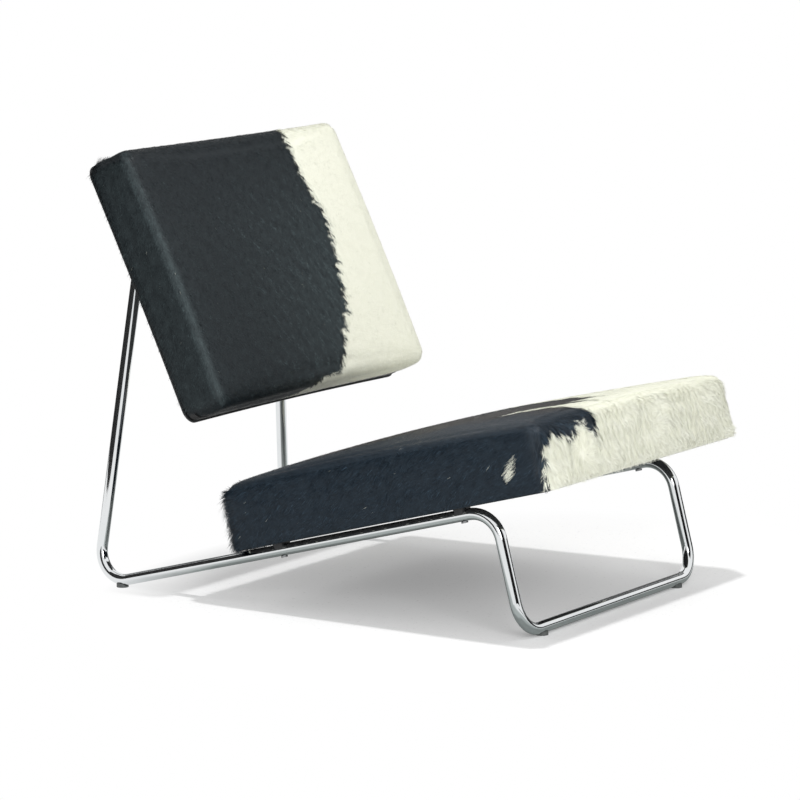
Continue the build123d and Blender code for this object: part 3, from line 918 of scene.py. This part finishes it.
FLOOR_REACH = 40
FADE_PLACE, FADE_SCALE = (-0.03, 0.1875, 0), (1, 1.25, 1)  # of the oval in which the floor keeps its shadow
FADE_FROM, FADE_TO = 0.60, 0.80
FLOOR_GLOW = 0.18  # the paper's own light near the chair, towards white
PAPER, PAPER_SPECK = (0.81, 0.81, 0.81), (0.66, 0.66, 0.66)
MIRRORED_FLOOR = (0.42, 0.45, 0.44, 1)  # the shaded paper near the chair, as the chrome shows it
SKY_LIGHT = 0.63  # the white world as a light
CAMERA_AT, CAMERA_LOOK, LENS = (-5.7790, -3.6948, 1.4235), (0.830413, 0.534160, -0.158453), 181.95
TO_CAMERA = (-0.841, -0.541)  # in plan, from the middle of the chair
CARD_HEIGHT = 0.001  # of a card on the floor


def seen_directly(tree):
    """1 for camera, glossy and transmission rays, which all see the white background."""
    path = tree.nodes.new("ShaderNodeLightPath")
    seen = path.outputs["Is Camera Ray"]
    for kind in ("Is Glossy Ray", "Is Transmission Ray"):
        either = tree.nodes.new("ShaderNodeMath")
        either.operation = "MAXIMUM"
        tree.links.new(seen, either.inputs[0])
        tree.links.new(path.outputs[kind], either.inputs[1])
        seen = either.outputs[0]
    return seen


def white_floor():
    """Paper that keeps the chair's shadow near it and fades to plain white further out."""
    s = Shader("studio_floor")
    tree = s.tree
    tree.nodes.remove(s.main)

    def blend(fac, a, b):
        n = s.node("ShaderNodeMixShader", Fac=fac)
        tree.links.new(a.outputs[0], n.inputs[1])
        tree.links.new(b.outputs[0], n.inputs[2])
        return n

    plan = s.node("ShaderNodeMapping", Vector=s.place, Location=FADE_PLACE, Scale=FADE_SCALE)
    far = s.node("ShaderNodeVectorMath")
    far.operation = "LENGTH"
    s.feed(far.inputs[0], plan.outputs["Vector"])
    fade = s.node("ShaderNodeMapRange", Value=far.outputs["Value"])
    fade.inputs["From Min"].default_value, fade.inputs["From Max"].default_value = FADE_FROM, FADE_TO
    speck = s.noise(160, 2)
    paper = s.node("ShaderNodeBsdfDiffuse", Color=s.ramp(speck, (0.28, PAPER_SPECK), (0.36, PAPER)))
    glow = s.node("ShaderNodeEmission", Strength=FLOOR_GLOW)
    near = s.node("ShaderNodeAddShader")
    tree.links.new(paper.outputs[0], near.inputs[0])
    tree.links.new(glow.outputs[0], near.inputs[1])
    mirrored = s.node("ShaderNodeBsdfDiffuse", Color=MIRRORED_FLOOR)
    white = s.node("ShaderNodeEmission", Strength=1.0)
    path = s.node("ShaderNodeLightPath")
    shown = blend(path.outputs["Is Glossy Ray"], near, mirrored)
    shown = blend(fade.outputs["Result"], shown, white)
    last = blend(seen_directly(tree), paper, shown)
    tree.links.new(last.outputs[0], s.out.inputs["Surface"])
    return s.material


floor_corners = [(sx * FLOOR_REACH, sy * FLOOR_REACH, 0) for sx, sy in ((-1, -1), (1, -1), (1, 1), (-1, 1))]
floor = new_mesh("floor", floor_corners, [[0, 1, 2, 3]])
floor.data.materials.append(white_floor())

world = bpy.data.worlds.new("studio")
scene.world = world
world.use_nodes = True
tree = world.node_tree
sky = tree.nodes["Background"]
amount = tree.nodes.new("ShaderNodeMapRange")
amount.inputs["To Min"].default_value, amount.inputs["To Max"].default_value = SKY_LIGHT, 1.0
tree.links.new(seen_directly(tree), amount.inputs["Value"])
sky.inputs["Color"].default_value = (1, 1, 1, 1)
tree.links.new(amount.outputs["Result"], sky.inputs["Strength"])


def lamp(name, at, to, size, power):
    """A round area light that points at a place."""
    data = bpy.data.lights.new(name, "AREA")
    data.shape = "DISK"
    data.size = size
    data.energy = power
    obj = bpy.data.objects.new(name, data)
    scene.collection.objects.link(obj)
    obj.location = at
    obj.rotation_mode = "QUATERNION"
    obj.rotation_quaternion = (Vector(to) - Vector(at)).to_track_quat("-Z", "Y")


def turned(turn, away):
    """A place on the floor, away from the middle and turned in degrees to the right of the camera."""
    a = math.radians(turn)
    c, s = away * math.cos(a), away * math.sin(a)
    x, y = TO_CAMERA
    return x * c - y * s, y * c + x * s


def standing(turn_from, turn_to, away, low, high):
    """The corners of an upright card."""
    (x0, y0), (x1, y1) = turned(turn_from, away), turned(turn_to, away)
    return [(x0, y0, low), (x1, y1, low), (x1, y1, high), (x0, y0, high)]


def lying(turn_from, turn_to, near, far):
    """The corners of a card that lies on the floor."""
    places = turned(turn_from, near), turned(turn_to, near), turned(turn_to, far), turned(turn_from, far)
    return [(x, y, CARD_HEIGHT) for x, y in places]


def card(name, corners, grey):
    """A card that only reflections see, as a studio's dark flags are placed for chrome."""
    obj = new_mesh(name, corners, [[0, 1, 2, 3]])
    s = Shader(name)
    s.set(Base_Color=s.ramp(s.noise(3, 2), (0.4, (grey,) * 3), (0.6, (1.2 * grey,) * 3)))
    s.main.inputs["Roughness"].default_value = 0.9
    s.main.inputs["Specular IOR Level"].default_value = 0.0
    obj.data.materials.append(s.material)
    obj.visible_camera = obj.visible_diffuse = obj.visible_shadow = False


card("front_card", standing(11, 58, 3.0, 0.32, 2.6), 0.012)
card("front_floor_card", lying(28, 92, 1.4, 4.2), 0.02)
card("right_card", standing(92, 130, 3.2, 0.0, 0.55), 0.02)
card("far_card", standing(132, 176, 3.0, 0.0, 2.4), 0.12)
card("left_card", standing(-150, -112, 3.0, 0.0, 2.2), 0.15)
card("left_low_card", standing(-140, -25, 2.9, 0.22, 1.0), 0.03)
card("left_high_card", standing(-110, -60, 2.6, 1.5, 4.0), 0.04)

lamp("key", (-0.27, -0.58, 2.5), (-0.05, -0.1, 0.2), size=0.14, power=28)
lamp("fill", (-2.4, -2.6, 1.5), (0, 0, 0.35), size=1.6, power=53)

camera_data = bpy.data.cameras.new("camera")
camera_data.lens, camera_data.sensor_width = LENS, 36
camera_data.clip_start, camera_data.clip_end = 0.1, 200
camera = bpy.data.objects.new("camera", camera_data)
scene.collection.objects.link(camera)
camera.location = CAMERA_AT
camera.rotation_mode = "QUATERNION"
camera.rotation_quaternion = Vector(CAMERA_LOOK).to_track_quat("-Z", "Y")
scene.camera = camera
